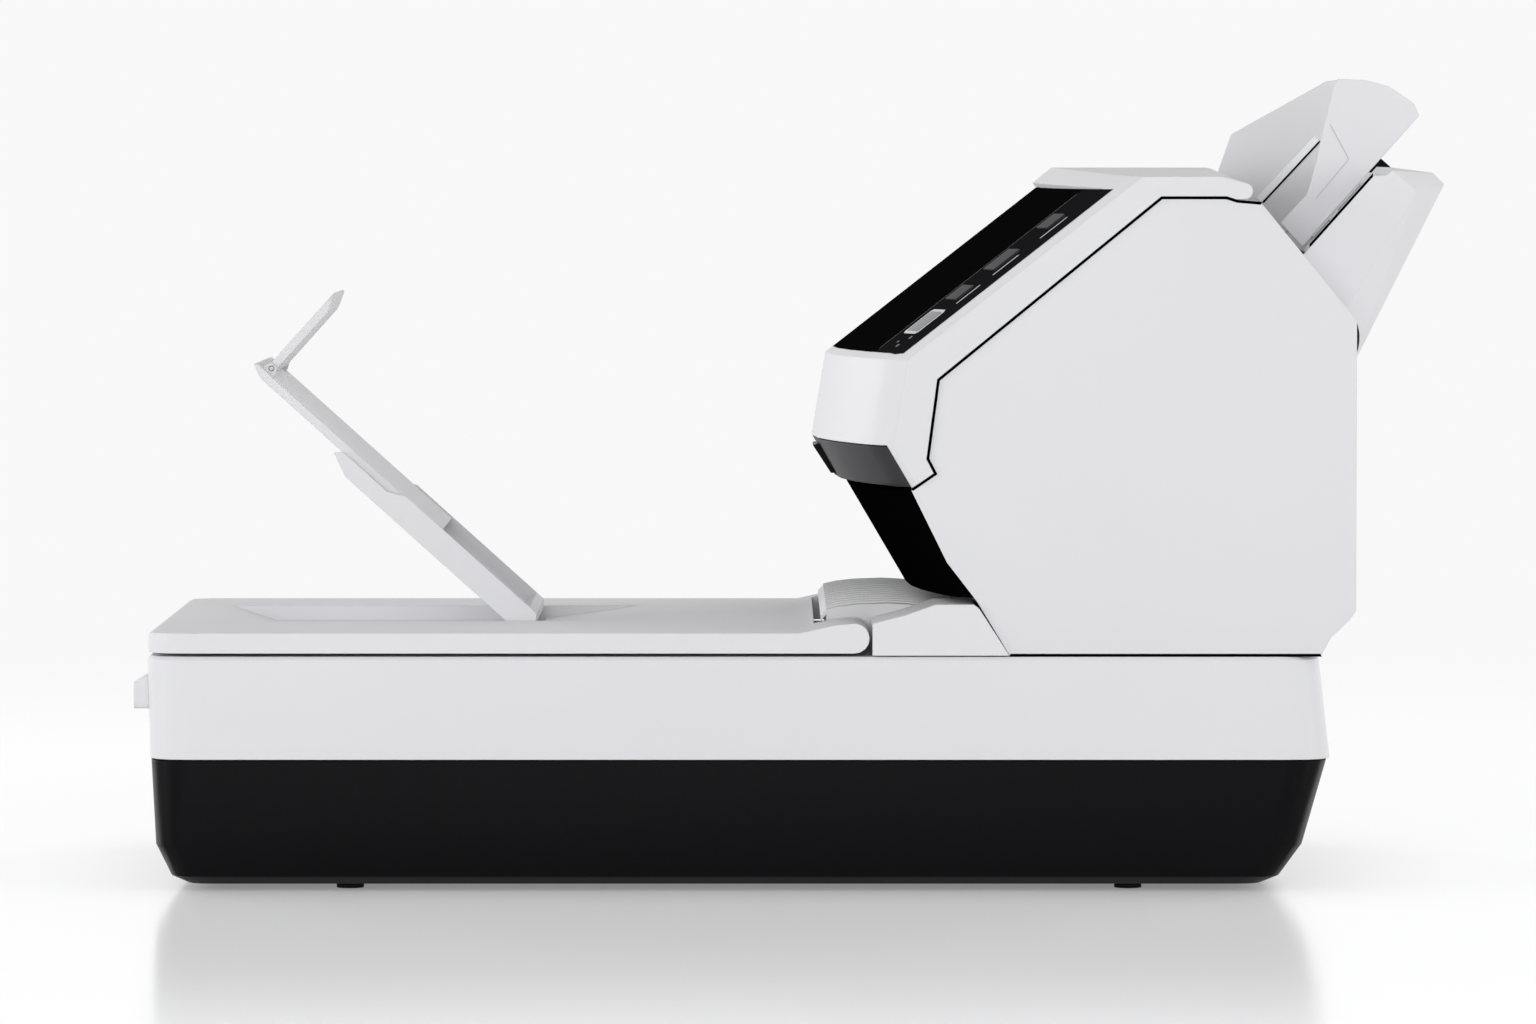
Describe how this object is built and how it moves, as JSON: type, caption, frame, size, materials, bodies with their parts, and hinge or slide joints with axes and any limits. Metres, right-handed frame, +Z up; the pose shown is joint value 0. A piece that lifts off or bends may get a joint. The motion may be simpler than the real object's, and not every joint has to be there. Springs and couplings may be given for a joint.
{
  "type": "flatbed scanner",
  "caption": "Flatbed document scanner with a hinged cover, an automatic feeder over its rear, a sloping operator panel, a rear hopper with side guides and a folding stacker.",
  "frame": {"origin": "middle of the machine's length and width, on the surface that its feet stand on", "axes": "+X from the front of the bed to the back, +Y from the near side to the far side, +Z up"},
  "size_m": [0.6228, 0.3, 0.386],
  "materials": {
    "white_plastic": "satin",
    "black_plastic": "satin",
    "grey_plastic": "satin",
    "ramp_grey": "satin",
    "gloss_black": "gloss",
    "rubber": "matte",
    "pad_white": "matte",
    "board_green": "satin",
    "key_grey": "satin",
    "steel": "brushed",
    "glass": "clear"
  },
  "bodies": {
    "machine": {"base_tray": "black_plastic", "base_upper_case": "white_plastic", "rubber_foot_front_near": "rubber", "rubber_foot_front_far": "rubber", "rubber_foot_rear_near": "rubber", "rubber_foot_rear_far": "rubber", "platen_glass": "glass", "guide_rod": "steel", "carriage_rail": "steel", "drive_belt": "rubber", "carriage_motor": "steel", "main_board": "board_green", "usb_socket": "steel", "dc_inlet": "black_plastic", "cover_hinge_pin_near": "steel", "cover_hinge_pin_far": "steel", "exit_ramp_housing": "white_plastic", "exit_ramp_ribbed": "ramp_grey", "adf_side_panel_near": "white_plastic", "adf_side_panel_far": "white_plastic", "adf_rear_case": "white_plastic", "adf_frame_near": "steel", "adf_frame_far": "steel", "lower_paper_guide": "black_plastic", "lower_image_sensor": "black_plastic", "adf_motor": "steel", "adf_drive_belt": "rubber", "adf_hinge_shaft": "steel", "adf_exit_body": "black_plastic", "chute_back_shell": "white_plastic", "chute_plate": "white_plastic"},
    "carriage": {"carriage_housing": "black_plastic"},
    "carriage_motor_pulley": {"motor_pulley": "steel"},
    "carriage_idler_pulley": {"idler_pulley": "grey_plastic"},
    "front_button": {"front_button": "white_plastic"},
    "document_cover": {"document_cover_shell": "white_plastic", "document_pad": "pad_white"},
    "stacker_tray": {"stacker_tray": "white_plastic"},
    "stacker_extension": {"stacker_extension": "white_plastic"},
    "paper_stopper": {"paper_stopper": "white_plastic"},
    "eject_roller": {"eject_roller": "rubber"},
    "feed_roller_downstream": {"feed_roller_downstream": "rubber"},
    "feed_roller_upstream": {"feed_roller_upstream": "rubber"},
    "pick_roller": {"pick_roller": "rubber"},
    "feeder_motor_pulley": {"adf_motor_pulley": "steel"},
    "feeder_cover": {"adf_cover_shell": "white_plastic", "operator_panel": "gloss_black", "cover_front_insert": "grey_plastic", "upper_paper_guide": "black_plastic", "upper_image_sensor": "black_plastic"},
    "menu_key": {"menu_key": "key_grey"},
    "stop_key": {"stop_key": "key_grey"},
    "scan_key": {"scan_key": "key_grey"},
    "release_lever": {"release_lever": "black_plastic"},
    "idler_roller": {"idler_roller": "grey_plastic"},
    "brake_roller": {"brake_roller": "rubber"},
    "side_guide_near": {"side_guide_near": "white_plastic"},
    "side_guide_far": {"side_guide_far": "white_plastic"},
    "guide_pinion": {"guide_pinion": "grey_plastic"},
    "chute_extension": {"chute_extension": "black_plastic"}
  },
  "joints": [
    {"name": "document_cover_hinge", "type": "hinge", "parent": "machine", "child": "document_cover", "pos_m": [0.03055, 0, 0.1207], "axis": [0, 1, 0], "range_deg": [0, 65]},
    {"name": "stacker_fold", "type": "hinge", "parent": "document_cover", "child": "stacker_tray", "pos_m": [-0.12795, 0, 0.1204], "axis": [0, -1, 0], "range_deg": [0, 42]},
    {"name": "stacker_extension_slide", "type": "slide", "parent": "stacker_tray", "child": "stacker_extension", "axis": [0.7431, 0, -0.6691], "range_m": [0, 0.054]},
    {"name": "stopper_fold", "type": "hinge", "parent": "stacker_extension", "child": "paper_stopper", "pos_m": [-0.25128, 0, 0.24497], "axis": [0, 1, 0], "range_deg": [0, 90]},
    {"name": "feeder_cover_hinge", "type": "hinge", "parent": "machine", "child": "feeder_cover", "pos_m": [0.21415, 0, 0.3317], "axis": [0, -1, 0], "range_deg": [-50, 0]},
    {"name": "release_lever_hinge", "type": "hinge", "parent": "feeder_cover", "child": "release_lever", "pos_m": [0.01605, 0, 0.2073], "axis": [0, 1, 0], "range_deg": [0, 18], "stiffness_Nm_per_rad": 0.06},
    {"name": "menu_key_press", "type": "slide", "parent": "feeder_cover", "child": "menu_key", "axis": [0.6155, 0, -0.7881], "range_m": [0, 0.0008], "stiffness_N_per_m": 200},
    {"name": "stop_key_press", "type": "slide", "parent": "feeder_cover", "child": "stop_key", "axis": [0.6155, 0, -0.7881], "range_m": [0, 0.0008], "stiffness_N_per_m": 200},
    {"name": "scan_key_press", "type": "slide", "parent": "feeder_cover", "child": "scan_key", "axis": [0.6155, 0, -0.7881], "range_m": [0, 0.0008], "stiffness_N_per_m": 200},
    {"name": "front_button_press", "type": "slide", "parent": "machine", "child": "front_button", "axis": [1, 0, 0], "range_m": [0, 0.002], "stiffness_N_per_m": 300},
    {"name": "carriage_slide", "type": "slide", "parent": "machine", "child": "carriage", "axis": [-1, 0, 0], "range_m": [0, 0.3]},
    {"name": "motor_pulley_spin", "type": "hinge", "parent": "machine", "child": "carriage_motor_pulley", "pos_m": [0.10565, -0.082, 0.05], "axis": [0, 0, 1], "continuous": true},
    {"name": "idler_pulley_spin", "type": "hinge", "parent": "machine", "child": "carriage_idler_pulley", "pos_m": [-0.28635, -0.082, 0.058], "axis": [0, 0, 1], "continuous": true},
    {"name": "upstream_roller_spin", "type": "hinge", "parent": "machine", "child": "feed_roller_upstream", "pos_m": [0.18232, 0.018, 0.22195], "axis": [0, 1, 0], "continuous": true},
    {"name": "downstream_roller_spin", "type": "hinge", "parent": "machine", "child": "feed_roller_downstream", "pos_m": [0.13842, 0.018, 0.17267], "axis": [0, 1, 0], "continuous": true},
    {"name": "eject_roller_spin", "type": "hinge", "parent": "machine", "child": "eject_roller", "pos_m": [0.11314, 0.018, 0.1443], "axis": [0, 1, 0], "continuous": true},
    {"name": "feeder_motor_spin", "type": "hinge", "parent": "machine", "child": "feeder_motor_pulley", "pos_m": [0.19585, -0.1, 0.16444], "axis": [0, 1, 0], "continuous": true},
    {"name": "pick_roller_spin", "type": "hinge", "parent": "machine", "child": "pick_roller", "pos_m": [0.22746, 0.018, 0.26209], "axis": [0, 1, 0], "continuous": true},
    {"name": "idler_roller_spin", "type": "hinge", "parent": "feeder_cover", "child": "idler_roller", "pos_m": [0.17165, 0.018, 0.23146], "axis": [0, 1, 0], "continuous": true},
    {"name": "brake_roller_spin", "type": "hinge", "parent": "feeder_cover", "child": "brake_roller", "pos_m": [0.20783, 0.018, 0.27958], "axis": [0, 1, 0], "continuous": true},
    {"name": "near_guide_slide", "type": "slide", "parent": "machine", "child": "side_guide_near", "axis": [0, 1, 0], "range_m": [0, 0.075]},
    {"name": "far_guide_slide", "type": "slide", "parent": "machine", "child": "side_guide_far", "axis": [0, -1, 0], "range_m": [0, 0.075]},
    {"name": "guide_pinion_spin", "type": "hinge", "parent": "machine", "child": "guide_pinion", "pos_m": [0.27559, 0.018, 0.31671], "axis": [-0.7466, 0, 0.6652], "continuous": true},
    {"name": "chute_extension_slide", "type": "slide", "parent": "machine", "child": "chute_extension", "axis": [0.6652, 0, 0.7466], "range_m": [0, 0.04]}
  ],
  "couplings": [
    {"joint": "motor_pulley_spin", "follows": "carriage_slide", "rad_per_m": 144.93},
    {"joint": "idler_pulley_spin", "follows": "carriage_slide", "rad_per_m": 144.93},
    {"joint": "downstream_roller_spin", "follows": "upstream_roller_spin", "ratio": 1},
    {"joint": "eject_roller_spin", "follows": "upstream_roller_spin", "ratio": 1},
    {"joint": "feeder_motor_spin", "follows": "upstream_roller_spin", "ratio": 1},
    {"joint": "far_guide_slide", "follows": "near_guide_slide", "ratio": 1},
    {"joint": "guide_pinion_spin", "follows": "near_guide_slide", "rad_per_m": -166.67}
  ]
}
